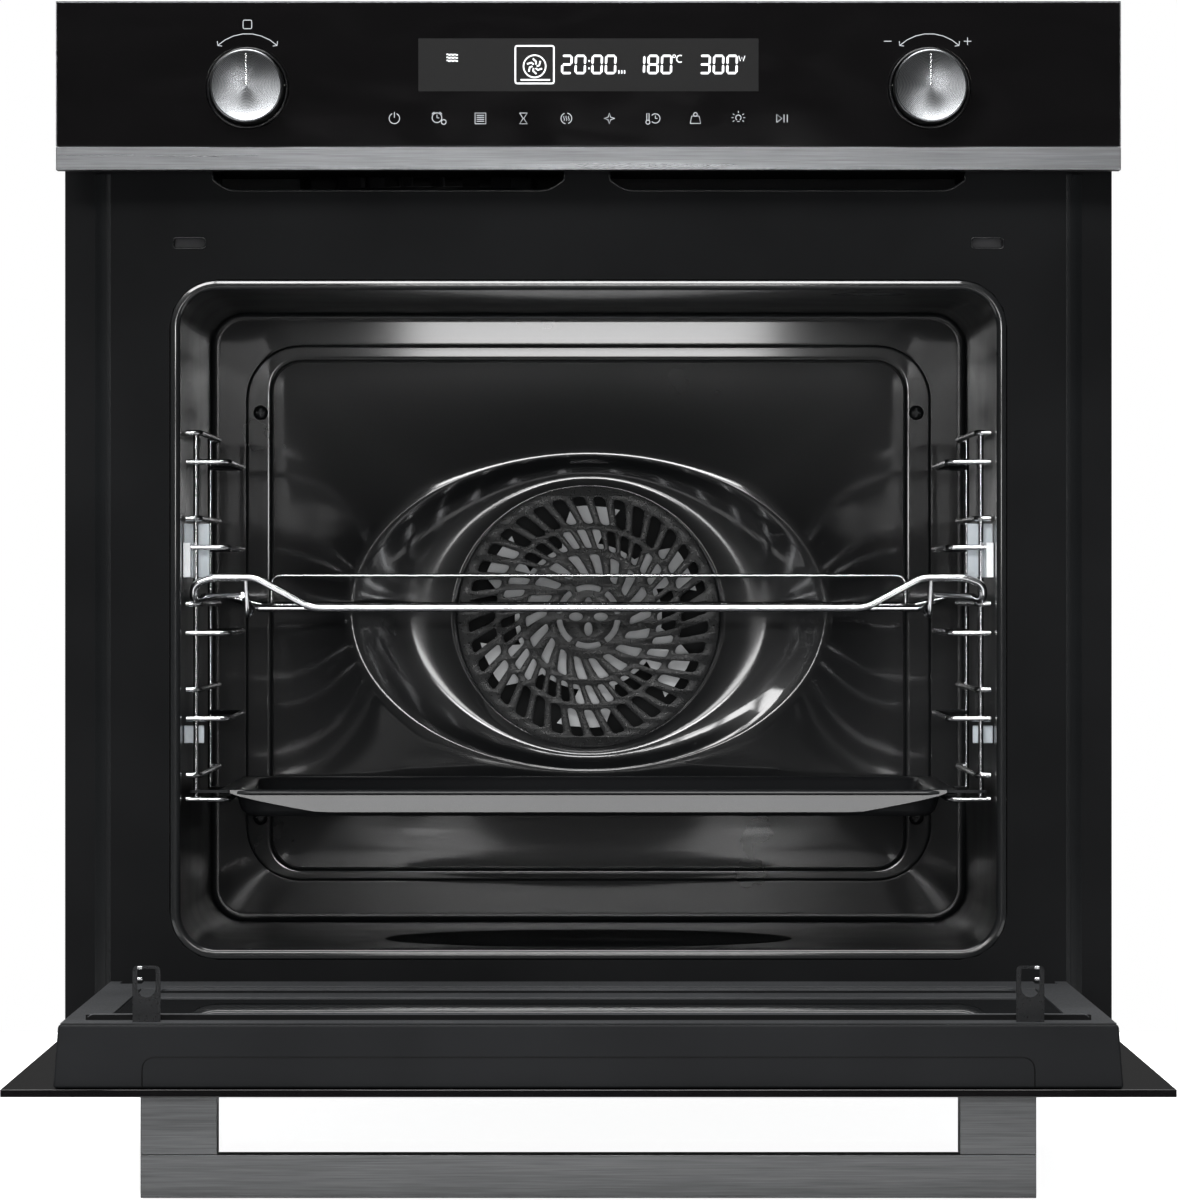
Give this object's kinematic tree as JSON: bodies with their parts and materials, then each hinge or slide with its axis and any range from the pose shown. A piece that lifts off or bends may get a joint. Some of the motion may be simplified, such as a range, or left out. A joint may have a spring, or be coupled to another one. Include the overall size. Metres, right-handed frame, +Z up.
{
  "type": "wall oven",
  "caption": "Built-in combination wall oven with a drop-down door, two push-in knobs, display panel, fan cover, side racks, wire shelf and baking tray.",
  "frame": {"origin": "centre of the housing's underside, where the oven stands on the cabinet's shelf", "axes": "+X to the right seen from the front, -Y towards the user, +Z up; the door stands open at 90 degrees"},
  "size_m": [0.595, 1.019, 0.6384],
  "materials": {
    "black_enamel": "gloss",
    "painted_front": "matte",
    "door_frame": "matte",
    "black_glass": "polished",
    "clear_glass": "polished",
    "brushed_steel": "satin",
    "turned_metal": "satin",
    "chrome_wire": "polished",
    "white_ceramic": "satin",
    "zinc_sheet": "satin",
    "zinc_parts": "satin",
    "hook_steel": "satin",
    "fan_metal": "satin",
    "heater_metal": "matte",
    "mineral_wool": "matte",
    "black_plastic": "matte",
    "magnetron_metal": "satin",
    "circuit_board": "matte"
  },
  "bodies": {
    "oven": {"cavity_liner": "black_enamel", "fan_cover": "black_enamel", "front_frame": "painted_front", "panel_glass": "black_glass", "lamp_glass": "clear_glass", "trim_strip": "brushed_steel", "side_rack_left": "chrome_wire", "side_rack_right": "chrome_wire", "rack_holder_upper_left": "white_ceramic", "rack_holder_upper_right": "white_ceramic", "rack_holder_lower_left": "white_ceramic", "rack_holder_lower_right": "white_ceramic", "fan_chamber": "zinc_sheet", "side_panel_left": "zinc_sheet", "side_panel_right": "zinc_sheet", "top_cover": "zinc_sheet", "base_plate": "zinc_sheet", "rear_cover": "zinc_sheet", "waveguide": "zinc_sheet", "cover_screw_upper_left": "zinc_parts", "cover_screw_upper_right": "zinc_parts", "cover_screw_lower_left": "zinc_parts", "cover_screw_lower_right": "zinc_parts", "fan_motor": "zinc_parts", "hinge_mount_left": "zinc_parts", "hinge_mount_right": "zinc_parts", "ring_heater": "heater_metal", "top_heater": "heater_metal", "bottom_heater": "heater_metal", "insulation": "mineral_wool", "panel_carrier": "black_plastic", "display_module": "black_plastic", "terminal_box": "black_plastic", "cooling_duct": "black_plastic", "knob_bezel_left": "black_plastic", "knob_bezel_right": "black_plastic", "encoder_left": "black_plastic", "encoder_right": "black_plastic", "latch_switch_left": "black_plastic", "latch_switch_right": "black_plastic", "magnetron": "magnetron_metal", "power_supply": "circuit_board"},
    "door": {"outer_glass": "black_glass", "middle_glass": "clear_glass", "inner_glass": "clear_glass", "door_liner": "door_frame", "door_trim": "door_frame", "handle": "brushed_steel", "latch_hook_left": "hook_steel", "latch_hook_right": "hook_steel", "hinge_leaf_left": "zinc_parts", "hinge_leaf_right": "zinc_parts"},
    "wire_shelf": {"wire_shelf": "chrome_wire"},
    "baking_tray": {"baking_tray": "black_enamel"},
    "knob_shaft_left": {"knob_shaft_left": "zinc_parts"},
    "knob_left": {"knob_left": "turned_metal"},
    "knob_shaft_right": {"knob_shaft_right": "zinc_parts"},
    "knob_right": {"knob_right": "turned_metal"},
    "fan_wheel": {"fan_wheel": "fan_metal"},
    "blower_wheel": {"blower_wheel": "black_plastic"}
  },
  "joints": [
    {"name": "door_hinge", "type": "hinge", "parent": "oven", "child": "door", "pos_m": [0, -0.288, 0.0286], "axis": [-1, 0, 0], "range_deg": [0, 90]},
    {"name": "wire_shelf_slide", "type": "slide", "parent": "oven", "child": "wire_shelf", "axis": [0, 1, 0], "range_m": [-0.2, 0]},
    {"name": "baking_tray_slide", "type": "slide", "parent": "oven", "child": "baking_tray", "axis": [0, 1, 0], "range_m": [-0.2, 0]},
    {"name": "knob_turn_left", "type": "hinge", "parent": "oven", "child": "knob_shaft_left", "pos_m": [-0.1905, -0.3, 0.5465], "axis": [0, 1, 0], "continuous": true},
    {"name": "knob_push_left", "type": "slide", "parent": "knob_shaft_left", "child": "knob_left", "axis": [0, 1, 0], "range_m": [0, 0.019], "stiffness_N_per_m": 150, "springref_m": -0.01},
    {"name": "knob_turn_right", "type": "hinge", "parent": "oven", "child": "knob_shaft_right", "pos_m": [0.1905, -0.3, 0.5465], "axis": [0, 1, 0], "continuous": true},
    {"name": "knob_push_right", "type": "slide", "parent": "knob_shaft_right", "child": "knob_right", "axis": [0, 1, 0], "range_m": [0, 0.019], "stiffness_N_per_m": 150, "springref_m": -0.01},
    {"name": "fan_turn", "type": "hinge", "parent": "oven", "child": "fan_wheel", "pos_m": [0, 0.15, 0.2495], "axis": [0, 1, 0], "continuous": true},
    {"name": "blower_turn", "type": "hinge", "parent": "oven", "child": "blower_wheel", "pos_m": [-0.09, 0.02, 0.505], "axis": [0, 0, 1], "continuous": true}
  ]
}
